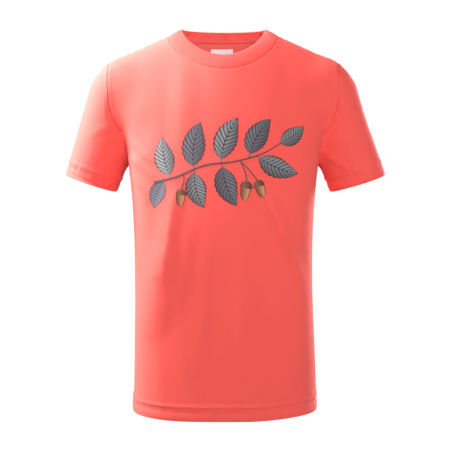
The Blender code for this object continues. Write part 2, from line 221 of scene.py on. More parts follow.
# The lean of the shirt: how far, and over which x or z it comes and goes
HEM_LEAN = 0.0022
HEM_LEAN_Z = (-0.520, -0.330)
SLEEVE_LEAN = 0.0060
SLEEVE_LEAN_X = (0.150, 0.225)
SLEEVE_LEAN_Z = (-0.215, -0.100)
CORNER_LIFTS = (0.0042, 0.0016)  # of the hem at the wearer's left and right
CORNER_X = ((0.030, 0.130), (0.060, 0.125))
CORNER_Z = (-0.550, -0.420)


# ---- Lines and tables


def smooth_table(at, table):
    """The columns after the first, read from a table on a smooth curve through its rows."""
    rows = np.asarray(table)
    slopes = np.gradient(rows[:, 1:], rows[:, 0], axis=0)
    i = np.clip(np.searchsorted(rows[:, 0], at) - 1, 0, len(rows) - 2)
    step = (rows[i + 1, 0] - rows[i, 0])[..., None]
    t = np.clip((at - rows[i, 0]) / step[..., 0], 0, 1)[..., None]
    start, rise = rows[i, 1:], rows[i + 1, 1:] - rows[i, 1:]
    leaving, arriving = slopes[i] * step - rise, slopes[i + 1] * step - rise
    return start + rise * t + t * (1 - t) * ((1 - t) * leaving - t * arriving)


def smooth_step(x, low, high):
    t = np.clip((x - low) / (high - low), 0, 1)
    return t * t * (3 - 2 * t)


def window(x, start, full, fading, end):
    """0 before the start and after the end, 1 between the two inner values, and smooth between."""
    return smooth_step(x, start, full) * (1 - smooth_step(x, fading, end))


def smooth_least(a, b, width):
    """The smaller of two distances, rounded where they are within a width of each other."""
    mix = np.clip(width - np.abs(a - b), 0, None) / width
    return np.minimum(a, b) - mix * mix * width / 4


def unit(vectors, least=0.0):
    return vectors / (np.linalg.norm(vectors, axis=-1, keepdims=True) + least)


def length_along(points):
    """How far along a line each of its points is."""
    return np.concatenate(([0], np.cumsum(np.linalg.norm(np.diff(points, axis=0), axis=1))))


def interpolate(at, run, values):
    """Rows of values, known at places along a run, read at other places."""
    return np.stack([np.interp(at, run, column) for column in np.transpose(values)], axis=-1)


def read_at(points, at):
    """The points at the given distances along a line."""
    return interpolate(at, length_along(points), points)


def resample(points, cells):
    return read_at(points, np.linspace(0, length_along(points)[-1], cells + 1))


def through(controls, cells):
    """Evenly spaced points on a smooth curve through a few points."""
    controls = np.asarray(controls, dtype=float)
    knots = np.arange(len(controls), dtype=float)
    dense = smooth_table(np.linspace(0, knots[-1], LINE_SAMPLES), np.column_stack((knots, controls)))
    return resample(dense, cells)


def spread(runs):
    """Rising places made of runs, each (start, end, cells)."""
    parts = [np.linspace(start, end, cells + 1)[:-1] for start, end, cells in runs]
    return np.append(np.concatenate(parts), runs[-1][1])


def mirrored(points):
    return points * np.array((-1, 1, 1))


# ---- The form


def ridge_height(x):
    return SHOULDER_SLOPE * (np.hypot(NECK_HALF_WIDTH, RIDGE_ROUNDING) - np.hypot(x, RIDGE_ROUNDING))


def torso_distance(p):
    """Roughly how far points are outside the torso: an oval column under the shoulders' roof."""
    x, y, z = np.abs(p[..., 0]), p[..., 1], p[..., 2]
    half_width, front, back, power = np.moveaxis(smooth_table(z, BODY_SECTIONS), -1, 0)
    depth = np.abs(y) / np.where(y < 0, front, back)
    level = ((x / half_width) ** power + depth**power) ** (1 / power)
    reach = np.hypot(x, y) + TINY
    column = reach - reach / (level + TINY)

    factor = np.where(y < 0, ROOF_FRONT[0] * (1 + ROOF_TAPER * x * x), ROOF_BACK[0])
    power = np.where(y < 0, ROOF_FRONT[1], ROOF_BACK[1])
    fall = factor * np.abs(y) ** power
    steepness = factor * power * np.abs(y) ** (power - 1)
    roof = (z - ridge_height(x) + fall) / np.sqrt(1 + SHOULDER_SLOPE**2 + steepness**2)
    return -smooth_least(-column, -roof, ROOF_BLEND)


def arm_frame():
    """The arm's top, its direction down the sleeve, the direction across it, and its length."""
    top, end = np.array(ARM_TOP), np.array(ARM_END)
    length = np.linalg.norm(end - top)
    along = (end - top) / length
    return top, along, np.array((-along[2], 0.0, along[0])), length


def arm_distance(p):
    """Roughly how far points are outside the nearer upper arm."""
    top, along, across, length = arm_frame()
    q = np.stack((np.abs(p[..., 0]), p[..., 1], p[..., 2]), axis=-1) - top
    down = q @ along
    t = np.clip(down / length, 0, ARM_REACH)[..., None]
    radii = np.array(ARM_TOP_RADII) * (1 - t) + np.array(ARM_END_RADII) * t
    above = np.minimum(down, 0) / ARM_TOP_RADII[0]
    sideways, forward = (q @ across) / radii[..., 0], q[..., 1] / radii[..., 1]
    return (np.sqrt(sideways**2 + forward**2 + above**2) - 1) * radii[..., 0]


def form(p):
    """Roughly how far points are outside the form: torso and arms, blended softly over the shoulder."""
    high = smooth_step(p[..., 2], BLEND_LOW_Z, BLEND_HIGH_Z)
    blend = ARM_BLEND_LOW + (ARM_BLEND_HIGH - ARM_BLEND_LOW) * high
    return smooth_least(torso_distance(p), arm_distance(p), blend)


def slope_of_form(p, reach=1e-4):
    steps = np.eye(3) * reach
    return np.stack([(form(p + s) - form(p - s)) / (2 * reach) for s in steps], axis=-1)


def raised(p, height):
    """Points on the form, raised by a height along the form's outward direction."""
    return p + unit(slope_of_form(p)) * np.asarray(height)[..., None]


def settle(p, rounds=12):
    """Moves points onto the form, each along the form's slope there."""
    p = np.array(p, dtype=float)
    for _ in range(rounds):
        slope = slope_of_form(p)
        size = np.maximum((slope**2).sum(-1), LEAST_SLOPE)
        p -= (np.clip(form(p), -MOST_MOVE, MOST_MOVE) / size)[..., None] * slope
    return p


def cast(points, direction):
    """Where straight lines from points inside the form leave it."""
    near, far = np.zeros(points.shape[:-1]), np.full(points.shape[:-1], CAST_REACH)
    for _ in range(CAST_HALVINGS):
        middle = (near + far) / 2
        inside = form(points + middle[..., None] * direction) < 0
        near, far = np.where(inside, middle, near), np.where(inside, far, middle)
    return points + near[..., None] * direction


# ---- Seams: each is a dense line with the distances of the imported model's cells along it


def armhole(side):
    controls = np.array(ARMHOLE)[::-1]
    line = settle(through(controls[:, (0, 1 if side < 0 else 2, 3)], LINE_SAMPLES))
    line[[0, -1], 1] = 0
    end = length_along(line)[-1]
    even = np.linspace(0, end - TOP_ROWS[-1], ARMHOLE_CELLS - len(TOP_ROWS) + 1)
    return line, np.concatenate((even, (end - TOP_ROWS[0], end)))


def side_seam():
    underarm = armhole(-1)[0][0]
    z = np.linspace(HEM_Z, underarm[2], LINE_SAMPLES)
    line = np.column_stack((smooth_table(z, BODY_SECTIONS)[:, 0], 0 * z, z))
    line[-1] = underarm
    return line, np.linspace(0, length_along(line)[-1], SIDE_CELLS + 1)


def neck_seam(side):
    turn = np.linspace(0, np.pi, LINE_SAMPLES)
    x = -NECK_HALF_WIDTH * np.cos(turn)
    z = (-NECK_FRONT_DROP if side < 0 else 0.0) * np.sin(turn) ** DIP_POWER
    factor, power = ROOF_FRONT if side < 0 else ROOF_BACK
    factor = factor * (1 + ROOF_TAPER * x * x) if side < 0 else factor
    fall = np.maximum(ridge_height(x) - z, 0)
    line = np.column_stack((x, side * (fall / factor) ** (1 / power), z))
    return line, np.linspace(0, length_along(line)[-1], NECK_CELLS + 1)


def shoulder_seam():
    start, end = neck_seam(-1)[0][-1], armhole(-1)[0][-1]
    line = start + (end - start) * np.linspace(0, 1, LINE_SAMPLES)[:, None]
    line[1:-1] = settle(line[1:-1])
    line[:, 1] = 0
    length = length_along(line)[-1]
    return line, np.append(np.linspace(0, length - EDGE_COLUMN, SHOULDER_CELLS), length)


def hem_line(side):
    half_width, front, back, power = smooth_table(np.array(HEM_Z), BODY_SECTIONS)
    turn = np.linspace(0, np.pi, LINE_SAMPLES)
    x = -half_width * np.sign(np.cos(turn)) * np.abs(np.cos(turn)) ** (2 / power)
    y = side * (front if side < 0 else back) * np.sin(turn) ** (2 / power)
    line = np.column_stack((x, y, np.full_like(x, HEM_Z)))
    end = length_along(line)[-1]
    even = np.linspace(EDGE_COLUMN, end - EDGE_COLUMN, LAST_COLUMN - 1)
    return line, np.concatenate(([0], even, [end]))


def on(seam, cells):
    """Points on a seam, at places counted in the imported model's cells."""
    line, stops = seam
    return read_at(line, np.interp(cells, np.arange(len(stops)), stops))


def panel_edges(side, rows, columns):
    """The four edges of a body panel at the given rows and columns."""
    shoulder, neck = shoulder_seam(), neck_seam(side)
    at_left = columns < SHOULDER_CELLS
    at_right = columns > LAST_COLUMN - SHOULDER_CELLS
    top = on(neck, np.clip(columns - SHOULDER_CELLS, 0, NECK_CELLS))
    top[at_left] = mirrored(on(shoulder, SHOULDER_CELLS - columns[at_left]))
    top[at_right] = on(shoulder, columns[at_right] - LAST_COLUMN + SHOULDER_CELLS)
    at_side = rows < SIDE_CELLS
    right = on(armhole(side), np.clip(rows - SIDE_CELLS, 0, ARMHOLE_CELLS))
    right[at_side] = on(side_seam(), rows[at_side])
    return on(hem_line(side), columns), top, mirrored(right), right


# ---- Panels: grids of points between the seams, on the form


def stretched(bottom, top, left, right):
    """A grid of points between four lines that meet at their ends: rows go up, columns go across."""
    u, v = [
        sum(length_along(line) / length_along(line)[-1] for line in pair) / 2
        for pair in ((bottom, top), (left, right))
    ]
    u, v = u[None, :, None], v[:, None, None]
    across = (1 - u) * left[:, None] + u * right[:, None]
    up = (1 - v) * bottom[None] + v * top[None]
    low_corners = (1 - u) * bottom[0] + u * bottom[-1]
    high_corners = (1 - u) * top[0] + u * top[-1]
    return across + up - (1 - v) * low_corners - v * high_corners


def evened(moves, pulls):
    """Each inner column of moves drawn to the mean of its neighbours, the nearer one counting for more."""
    before, after = pulls[:-1, None], pulls[1:, None]
    return (moves[:, :-2] * before + moves[:, 2:] * after) / (before + after)


def draping(grid, rounds=4, passes=40):
    """The moves that take a grid onto the form while its edges stay."""
    columns = 1 / np.linalg.norm(np.diff(grid, axis=1), axis=-1).mean(0)
    rows = 1 / np.linalg.norm(np.diff(grid, axis=0), axis=-1).mean(1)
    moves = np.zeros_like(grid)
    for _ in range(rounds):
        moves[1:-1, 1:-1] = (settle(grid + moves) - grid)[1:-1, 1:-1]
        for _ in range(passes):
            across = evened(moves, columns)[1:-1]
            up = evened(moves.swapaxes(0, 1), rows).swapaxes(0, 1)[:, 1:-1]
            moves[1:-1, 1:-1] = (across + up) / 2
    return moves


def between(values, rows, columns):
    """A coarse grid of values read smoothly at finer rows and columns."""
    for at in (rows, columns):
        knots = np.arange(len(values), dtype=float)
        flat = np.column_stack((knots, values.reshape(len(values), -1)))
        values = smooth_table(at, flat).reshape((len(at),) + values.shape[1:]).swapaxes(0, 1)
    return values


def body_columns():
    half = spread(BODY_HALF_COLUMNS)
    return np.concatenate((half, LAST_COLUMN - half[-2::-1]))


def body_grid(side):
    """A body panel on the form, in fine rows and columns."""
    coarse = [np.arange(last + 1.0) for last in (LAST_ROW, LAST_COLUMN)]
    moves = draping(stretched(*panel_edges(side, *coarse)))
    rows, columns = spread(BODY_ROWS), body_columns()
    grid = stretched(*panel_edges(side, rows, columns))
    grid += between(moves, rows, columns)
    grid[1:-1, 1:-1] = settle(grid[1:-1, 1:-1], 8)
    relax_underarm(grid, rows)
    ease(grid)
    return grid


def relax_underarm(grid, rows, rounds=6, passes=25):
    """Evens the rows near the underarm, where the side seam turns into the armhole."""
    near = np.clip(1 - np.abs(rows - SIDE_CELLS) / UNDERARM_ROWS, 0, 1)[1:-1, None, None] ** 0.5
    for _ in range(rounds):
        for _ in range(passes):
            grid[1:-1, 1:-1] += near * ((grid[:-2, 1:-1] + grid[2:, 1:-1]) / 2 - grid[1:-1, 1:-1])
        grid[1:-1, 1:-1] = settle(grid[1:-1, 1:-1], 4)


def ease(grid, passes=40):
    """Smooths the grid where the chest meets the arm, so that the cloth spans the hollow there."""
    away = np.min([np.hypot(np.abs(grid[..., 0]) - x, grid[..., 2] - z) for x, z in EASE_AT], axis=0)
    share = (1 - smooth_step(away, *EASE_REACH))[1:-1, 1:-1, None]
    for _ in range(passes):
        beside = (grid[1:-1, :-2] + grid[1:-1, 2:] + grid[:-2, 1:-1] + grid[2:, 1:-1]) / 4
        grid[1:-1, 1:-1] += share * (beside - grid[1:-1, 1:-1])


def sleeve_grid():
    """The wearer's left sleeve, from its hem up to the armhole, round from the underarm by the front."""
    half = spread(SLEEVE_HALF_COLUMNS)
    top = np.vstack((on(armhole(-1), half), on(armhole(1), half)[-2:0:-1]))
    _, _, across, _ = arm_frame()
    turn = np.linspace(0, 2 * np.pi, len(top), endpoint=False)[:, None]
    forward = np.array((0, -ARM_END_RADII[1], 0))
    bottom = np.array(ARM_END) - across * ARM_END_RADII[0] * np.cos(turn) + forward * np.sin(turn)
    t = spread(SLEEVE_ROWS)[:, None, None]
    grid = bottom[None] * (1 - t) + top[None] * t
    grid[1:-1] = settle(grid[1:-1], 10)
    return grid


def measured(grid):
    """Distances along a grid's columns from its first row, and along its rows from its first column."""
    up = np.linalg.norm(np.diff(grid, axis=0), axis=-1)
    across = np.linalg.norm(np.diff(grid, axis=1), axis=-1)
    up = np.vstack((np.zeros(grid.shape[1]), np.cumsum(up, axis=0)))
    across = np.column_stack((np.zeros(grid.shape[0]), np.cumsum(across, axis=1)))
    return up, across


# ---- Heights on the cloth


def profile(t, crest):
    """A ridge's height at a share of its width: crest 0 is rounded, 1 is sharp."""
    t = np.minimum(t, 1)
    return crest * (1 - t) ** 2 + (1 - crest) * (1 - t * t) ** 2


def mound(away, height, at, reach):
    """A rounded ridge along a seam, at a distance from it."""
    return height * profile(np.abs(away - at) / reach, 0)


def fold_height(p, fold):
    """The height of one fold at points seen from the front or the back."""
    height, left, right, crest, *controls = fold
    line = through(np.array(controls) * MM, FOLD_SAMPLES)
    away = p[..., None, ::2] - line
    distance = np.hypot(away[..., 0], away[..., 1])
    nearest = distance.argmin(-1)
    chosen = np.take_along_axis(away, nearest[..., None, None], -2)[..., 0, :]
    turned = unit(np.gradient(line, axis=0))[nearest]
    to_left = chosen[..., 0] * turned[..., 1] - chosen[..., 1] * turned[..., 0] < 0
    width = np.where(to_left, left, right) * MM
    taper = np.sin(np.pi * np.clip((nearest + 1) / (len(line) + 1), 0, 1)) ** 0.7
    reach = np.take_along_axis(distance, nearest[..., None], -1)[..., 0]
    return height * MM * taper * profile(reach / width, crest)


def folds(p, some_folds, nearest_seam):
    return sum(fold_height(p, fold) for fold in some_folds) * smooth_step(nearest_seam, 0, FOLD_FADE)


def hem_flare(away, up):
    """The hem stands out from the body near one side seam, most at its stitches."""
    outline = (0.6 + 0.4 * smooth_step(up, *FLARE_RISE)) * (1 - smooth_step(up, *FLARE_FALL))
    return FLARE * outline * np.exp(-((away / FLARE_REACH) ** 2))


def armhole_dip(p, away, reach):
    """The cloth on both sides sinks toward the armhole seam, most beside the chest."""
    return -DIP * window(-p[..., 2], *DIP_LEVELS) * profile(away / reach, 1)


def armhole_rim(p, away):
    """The thin ridge that the allowances raise beside the lower armhole."""
    return window(-p[..., 2], *RIM_LEVELS) * mound(away, *RIM)


def edge_waves(run, away, phase):
    """The slight puckering of a sewn edge: small waves along it that die out away from it."""
    turns, finer = [run * 2 * np.pi / length for length in PUCKER_LENGTHS]
    wave = np.sin(turns + phase) + 0.7 * np.sin(finer + 2.1 * phase + 0.8)
    return PUCKER * wave * np.exp(-((away / PUCKER_FADE) ** 2))


def seam_shape(away):
    """A sewn edge: it dips at the seam, and the allowance below lifts the cloth beside it."""
    return mound(away, *SEAM_SWELL) - mound(away, *SEAM_SINK)


def hem_shape(up):
    """A turned-up hem: its two rows of stitches press it in, and the cloth swells between."""
    return mound(up, *HEM_SWELL) + mound(up, *HEM_LIP) - sum(mound(up, *sink) for sink in STITCH_SINKS)


def leaned(p):
    """The small lean of the shirt: its hem a little to the wearer's left and up there, that sleeve out."""
    p = p.copy()
    x, z = p[..., 0], p[..., 2]
    x += HEM_LEAN * (1 - smooth_step(z, *HEM_LEAN_Z))
    x += SLEEVE_LEAN * smooth_step(x, *SLEEVE_LEAN_X) * (1 - smooth_step(z, *SLEEVE_LEAN_Z))
    lifts = zip((x, -x), CORNER_LIFTS, CORNER_X)
    z += sum(lift * smooth_step(at, *run) for at, lift, run in lifts) * (1 - smooth_step(z, *CORNER_Z))
    return p


# ---- Sheets of cloth: a grid whose edges are turned under, made into a mesh


def grid_normals(grid, closed):
    """Outward normals of a grid whose columns go round and whose rows go up."""
    wide = np.concatenate((grid[:, -1:], grid, grid[:, :1]), axis=1) if closed else grid
    across = np.gradient(wide, axis=1)
    across = across[:, 1:-1] if closed else across
    return unit(np.cross(across, np.gradient(grid, axis=0)), TINY)


def grid_faces(index, flip=False):
    """The faces of a grid of vertex numbers."""
    corners = [index[:-1, :-1], index[:-1, 1:], index[1:, 1:], index[1:, :-1]]
    return np.stack(corners[::-1] if flip else corners, axis=-1).reshape(-1, 4)


def from_edge(values, edge):
    """A grid's rows, or its columns, counted inward from an edge."""
    turned = values.swapaxes(0, 1) if edge in ("left", "right") else values
    return turned[::-1] if edge in ("top", "right") else turned


def pulled_in(grid, edge, pull):
    """Moves an edge back along its surface, to leave room for its fold. pull may differ along it."""
    view = from_edge(grid, edge)
    view[0] += unit(view[1] - view[0]) * np.asarray(pull)[..., None]


class Sheet:
    """Points, UVs in metres and faces of one sheet, gathered before it becomes a mesh."""

    def __init__(self, grid, across, up, closed=False):
        self.grid, self.up, self.closed = grid, up, closed
        self.uv = np.stack((across, up), axis=-1)
        self.normals = grid_normals(grid, closed)
        self.index = np.arange(up.size).reshape(up.shape)
        self.points, self.uvs, self.faces = [grid.reshape(-1, 3)], [self.uv.reshape(-1, 2)], []
        self.count = up.size
        self.join(self.index, False)

    def join(self, index, flip):
        if self.closed:
            index = np.column_stack((index, index[:, 0]))
        self.faces.append(grid_faces(index, flip))

    def turn_under(self, edge, width, radius=TURN, span=slice(None)):
        """Folds an edge under by a width, as a hem or a seam allowance."""
        rows, normals, uv, index = [
            from_edge(values, edge)[:, span] for values in (self.grid, self.normals, self.uv, self.index)
        ]
        out, beyond = unit(rows[0] - rows[1]), unit(uv[0] - uv[1])
        far = length_along(rows[:, rows.shape[1] // 2])
        new, new_uv = [], []
        for k in range(1, TURN_STEPS + 1):
            a = np.pi * k / TURN_STEPS
            new.append(rows[0] + out * radius * np.sin(a) - normals[0] * radius * (1 - np.cos(a)))
            new_uv.append(uv[0] + beyond * radius * a)
        for j in range(1, int(np.searchsorted(far, width)) + 1):
            new.append(rows[j] - normals[j] * 2 * radius)
            new_uv.append(uv[0] + beyond * (radius * np.pi + far[j]))
        made = self.count + np.arange(len(new) * rows.shape[1]).reshape(len(new), -1)
        self.count += made.size
        self.points += new
        self.uvs += new_uv
        self.join(np.vstack((made[::-1], index[:1])), edge in ("top", "left"))

    def mesh(self, name, thickness, look):
        return solid_sheet(name, *map(np.concatenate, (self.points, self.uvs, self.faces)), thickness, look)


def linked(name, data):
    """A new object in the scene."""
    made = bpy.data.objects.new(name, data)
    bpy.context.scene.collection.objects.link(made)
    return made


def bare_mesh(name, points, uvs, faces, look):
    mesh = bpy.data.meshes.new(name)
    mesh.from_pydata(np.asarray(points).tolist(), [], [list(map(int, f)) for f in faces])
    layer = mesh.uv_layers.new(name="cloth")
    loops = np.empty(len(mesh.loops), dtype=int)
    mesh.loops.foreach_get("vertex_index", loops)
    layer.data.foreach_set("uv", np.asarray(uvs, dtype=float)[loops].ravel())
    mesh.materials.append(look)
    return linked(name, mesh)


def solid_sheet(name, points, uvs, faces, thickness, look):
    """A sheet made thick toward its inner side, with the Solidify modifier applied."""
    made = bare_mesh(name, points, uvs, faces, look)
    shell = made.modifiers.new("Thickness", "SOLIDIFY")
    shell.thickness = thickness
    shell.offset = -1
    bpy.context.view_layer.update()
    depsgraph = bpy.context.evaluated_depsgraph_get()
    mesh = bpy.data.meshes.new_from_object(made.evaluated_get(depsgraph), depsgraph=depsgraph)
    made.modifiers.clear()
    old, made.data = made.data, mesh
    bpy.data.meshes.remove(old)
    mesh.name = made.name
    mesh.shade_smooth()
    mesh.set_sharp_from_angle(angle=np.radians(SHARP_ANGLE))
    return made


def merged(parts):
    """Several (points, uvs, faces) made into one."""
    points, uvs, faces, count = [], [], [], 0
    for some_points, some_uvs, some_faces in parts:
        points.append(some_points)
        uvs.append(some_uvs)
        faces += [[corner + count for corner in face] for face in some_faces]
        count += len(some_points)
    return np.concatenate(points), np.concatenate(uvs), faces


def finish_piece(made, slot, *nodes):
    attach(made, "root")
    if nodes:
        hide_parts(*nodes)
    return made


# ---- Looks


class Value:
    """A node's output in a look, with arithmetic that adds the nodes it needs."""

    def __init__(self, look, socket):
        self.look, self.socket = look, socket

    def __add__(self, other):
        return self.look.math("ADD", self, other)

    def __sub__(self, other):
        return self.look.math("SUBTRACT", self, other)

    def __rsub__(self, other):
        return self.look.math("SUBTRACT", other, self)

    def __mul__(self, other):
        return self.look.math("MULTIPLY", self, other)

    def __truediv__(self, other):
        return self.look.math("DIVIDE", self, other)

    def __abs__(self):
        return self.look.math("ABSOLUTE", self)


class Look:
    """A material, with short calls for the nodes that paint it."""

    def __init__(self, name, colour, roughness, **constants):
        self.material = bpy.data.materials.new(name)
        self.material.use_nodes = True
        self.nodes, self.links = self.material.node_tree.nodes, self.material.node_tree.links
        self.shader = self.nodes["Principled BSDF"]
        self.set("Base Color", colour)
        self.set("Roughness", roughness)
        for name, value in constants.items():
            self.set(name.replace("_", " "), value)

    def put(self, socket, value):
        if isinstance(value, Value):
            self.links.new(value.socket, socket)
        else:
            socket.default_value = (*value, 1) if socket.type == "RGBA" else value

    def set(self, name, value):
        """Gives one of the shader's sockets a value, or a node's output."""
        self.put(self.shader.inputs[name], value)

    def node(self, kind, inputs=(), output=0, **settings):
        """One output of a new node with the given settings and inputs."""
        node = self.nodes.new("ShaderNode" + kind)
        for name, value in settings.items():
            setattr(node, name, value)
        for name, value in dict(inputs).items():
            self.put(node.inputs[name], value)
        return Value(self, node.outputs[output])

    def math(self, operation, *values):
        return self.node("Math", enumerate(values), operation=operation)

    def parts(self, vector):
        """The x, y and z of a vector."""
        split = self.node("SeparateXYZ", {"Vector": vector})
        return [Value(self, socket) for socket in split.socket.node.outputs]

    def uv(self):
        """The two coordinates of the cloth map."""
        return self.parts(self.node("UVMap", uv_map="cloth"))[:2]

    def place(self):
        """The three coordinates of a point, in metres."""
        return self.parts(self.node("TexCoord", output="Object"))

    def noise(self, scale, detail=2.0, stretch=(1, 1, 1)):
        where = self.node("Mapping", {"Vector": self.node("TexCoord", output="Object"), "Scale": stretch})
        return self.node("TexNoise", {"Vector": where, "Scale": scale, "Detail": detail}, "Fac")

    def wave(self, value, period, phase=0.0):
        """A smooth wave from 0 to 1 and back in each period."""
        turns = self.math("MULTIPLY_ADD", value, 2 * np.pi / period, phase)
        return self.math("COSINE", turns) * -0.5 + 0.5

    def band(self, value, low, high):
        """0 at low, 1 at high, and smooth between."""
        inputs = {"From Min": low, "From Max": high, "Value": value}
        return self.node("MapRange", inputs, "Result", interpolation_type="SMOOTHSTEP")

    def most(self, first, *others):
        for value in others:
            first = self.math("MAXIMUM", first, value)
        return first

    def mix(self, factor, a, b):
        return self.node("Mix", {"Factor": factor, "A": a, "B": b}, "Result", data_type="RGBA")

    def reverse(self, colour):
        """A colour drawn toward a darker, duller coral on faces that look into the shirt: painted shade for
        its inside.
        """
        at, normal = [self.parts(self.node("NewGeometry", output=name)) for name in ("Position", "Normal")]
        inside = self.band(at[1] * normal[1], *INSIDE_SHADE_BAND)
        return self.mix(inside, colour, self.mix(INSIDE_SHADE_SHARE, colour, INSIDE_SHADE))

    def roughen(self, value, low, high):
        inputs = {"To Min": low, "To Max": high, "Value": value}
        self.set("Roughness", self.node("MapRange", inputs, "Result"))

    def bump(self, height, distance, strength):
        inputs = {"Distance": distance, "Strength": strength, "Height": height}
        self.set("Normal", self.node("Bump", inputs))


def shade(colour, share):
    return tuple(min(c * share, 1) for c in colour)


CORAL = (0.95, 0.100, 0.083)
# Painted shade: a darker, duller coral for the faces inside the shirt, and how much of it they get
INSIDE_SHADE = (0.64, 0.126, 0.108)
INSIDE_SHADE_SHARE = 0.75
INSIDE_SHADE_BAND = (-0.002, -0.020)  # of y times the normal's y, which is less than 0 on faces that look in
FUZZ_COLOUR = (0.93, 0.16, 0.13)
FUZZ = dict(Sheen_Weight=0.12, Sheen_Roughness=0.5, Sheen_Tint=(1, 0.55, 0.5), Specular_IOR_Level=0.25)
WALE = 0.00074  # one column of knit loops
COURSE = 0.00056  # one row of them
SATIN = (0.58, 0.70, 0.72)
# Shaded and lit copies of the satin, painted onto its weave by height
SATIN_SHADED = (0.48, 0.59, 0.61)
SATIN_LIT = (0.61, 0.75, 0.77)
SATIN_WORN = (0.54, 0.66, 0.68)

# The print's inks
SLATE = (0.030, 0.052, 0.066)
PALE_BAND = (0.195, 0.255, 0.262)
GREY_BAND = (0.110, 0.150, 0.185)
INK = (0.008, 0.012, 0.015)
TAN = (0.50, 0.205, 0.085)
GLINT = (0.66, 0.34, 0.17)
BROWN = (0.145, 0.060, 0.030)


def knit(look, x, y):
    """The height of plain knitting: two slanting legs in each column of loops."""
    column = abs(look.math("FRACT", x / WALE) * 2 - 1)
    leg = 1 - abs(column * 2 - 1)
    return leg * (look.wave(column * (COURSE * 0.6) + y, COURSE) * 0.45 + 0.55)


def jersey_look():
    look = Look("coral_jersey", CORAL, 0.9, **FUZZ)
    height = knit(look, *look.uv())
    # Painted shade: the knit's hollows are drawn darker and its raised loops lighter
    base = look.mix(look.band(height, 0.0, 0.45), shade(CORAL, 0.91), shade(CORAL, 1.02))
    cloudy = look.band(look.noise(38, 3.0), 0.35, 0.65) * 0.35
    fuzzy = look.band(look.noise(2600, 1.0, (1, 1, 0.15)), 0.62, 0.78) * 0.25
    mottled = look.mix(cloudy, base, shade(CORAL, 0.95))
    look.set("Base Color", look.reverse(look.mix(fuzzy, mottled, FUZZ_COLOUR)))
    look.roughen(look.noise(90), 0.80, 0.96)
    look.bump(look.noise(5200) * 0.25 + height, 0.00016, 0.6)
    return look.material


def rib_look(pitch):
    look = Look("coral_rib", CORAL, 0.9, **FUZZ)
    x, y = look.uv()
    loops = look.wave(look.wave(x, pitch / 2) * (COURSE * 0.5) + y, COURSE)
    height = loops * 0.22 + look.wave(x, pitch, np.pi)
    # Painted shade: the rib's valleys are drawn darker than its ridges
    base = look.mix(look.band(height, 0.0, 0.6), shade(CORAL, 0.80), CORAL)
    look.set("Base Color", look.reverse(look.mix(look.noise(45, 3.0) * 0.25, base, shade(CORAL, 0.9))))
    look.roughen(look.noise(90), 0.80, 0.96)
    look.bump(look.noise(5200) * 0.2 + height, 0.00018, 0.6)
    return look.material


def tape_look():
    look = Look("coral_tape", CORAL, 0.85, **FUZZ)
    x, y = look.uv()
    height = look.wave(x, 0.00032) * 0.4 + look.wave(x + y, 0.00055)
    # Painted shade: the tape takes the shaded coral of the shirt's inside, with its low threads darker and
    # raised threads lighter
    high = look.band(height, 0.1, 0.9)
    look.set("Base Color", look.mix(high, shade(INSIDE_SHADE, 0.88), shade(INSIDE_SHADE, 1.06)))
    look.roughen(look.noise(120), 0.75, 0.9)
    look.bump(height, 0.0001, 0.6)
    return look.material


def label_look():
    look = Look("satin_label", SATIN, 0.4, Sheen_Weight=0.2, Sheen_Roughness=0.3, Anisotropic=0.5)
    x, y = look.uv()
    height = look.wave(y, 0.00030) * 0.5 + look.wave(x, 0.00022)
    # Painted shade and highlight: the satin's low threads are drawn darker and its raised threads lighter
    shaded_weave = look.mix(look.band(height, 0.1, 1.2), SATIN_SHADED, SATIN_LIT)
    look.set("Base Color", look.mix(look.noise(60, 3.0) * 0.3, shaded_weave, SATIN_WORN))
    look.roughen(look.noise(200, 2.0, (4, 1, 1)), 0.30, 0.48)
    look.bump(height, 0.00004, 0.5)
    return look.material


def thread_look():
    look = Look("coral_thread", CORAL, 0.55, Sheen_Weight=0.1, Sheen_Roughness=0.4)
    x, y = look.uv()
    strands = look.wave(x + y * 1.6, 0.00042)
    # Painted shade and highlight: the thread is drawn darker between its strands and lighter on them
    look.set("Base Color", look.mix(strands, shade(CORAL, 0.80), shade(CORAL, 1.1)))
    look.roughen(strands, 0.45, 0.65)
    look.bump(strands, 0.00006, 0.7)
    return look.material


def ink_look(name, colour, picture, *details):
    """Ink over the knit, thinner over its hollows and here and there, with the picture's lines dark."""
    look = Look(name, colour, 0.72, Specular_IOR_Level=0.3, Sheen_Weight=0.05, Sheen_Roughness=0.5)
    x, _, z = look.place()
    height = knit(look, x, z)
    look.bump(height, 0.00010, 0.45)
    look.roughen(look.noise(150), 0.62, 0.80)
    painted, rim = picture(look, *look.uv(), *details)
    thin = look.band(height, 0.30, 0.0) * 0.22
    patchy = look.band(look.noise(420, 3.0), 0.60, 0.74) * 0.16 + thin
    look.set("Base Color", look.mix(patchy, look.mix(rim, painted, INK), shade(CORAL, 0.75)))
    return look.material


def leaf_picture(look, v, u, light, veins, lean):
    """Pale bands between slanting side veins, a midrib, hatching and an outline."""
    away = abs(v)
    stripe = look.wave(away * -lean + u, 1 / veins)
    colour = look.mix(look.band(stripe, 0.10, 0.55), SLATE, light)
    colour = look.mix(look.band(v, -0.15, 0.95) * 0.62, colour, SLATE)
    hatch = look.band(look.wave(away * 0.5 + u, 1 / (6.5 * veins)), 0.55, 0.9)
    colour = look.mix(hatch * (look.band(v, -0.6, 0.9) * 0.45 + 0.12), colour, INK)
    vein = (1 - look.band(stripe, 0.015, 0.075)) * 0.85
    midrib = 1 - look.band(away, 0.025, 0.06)
    return colour, look.most(vein, midrib, look.band(away, 0.86, 0.92), look.band(u, 0.955, 0.975))


def stem_picture(look, v, u):
    bark = look.band(look.noise(900, 3.0, (1, 1, 3)), 0.42, 0.60) * look.band(v, 0.4, -0.5)
    return look.mix(bark, SLATE, GREY_BAND), look.band(abs(v), 0.55, 0.72)


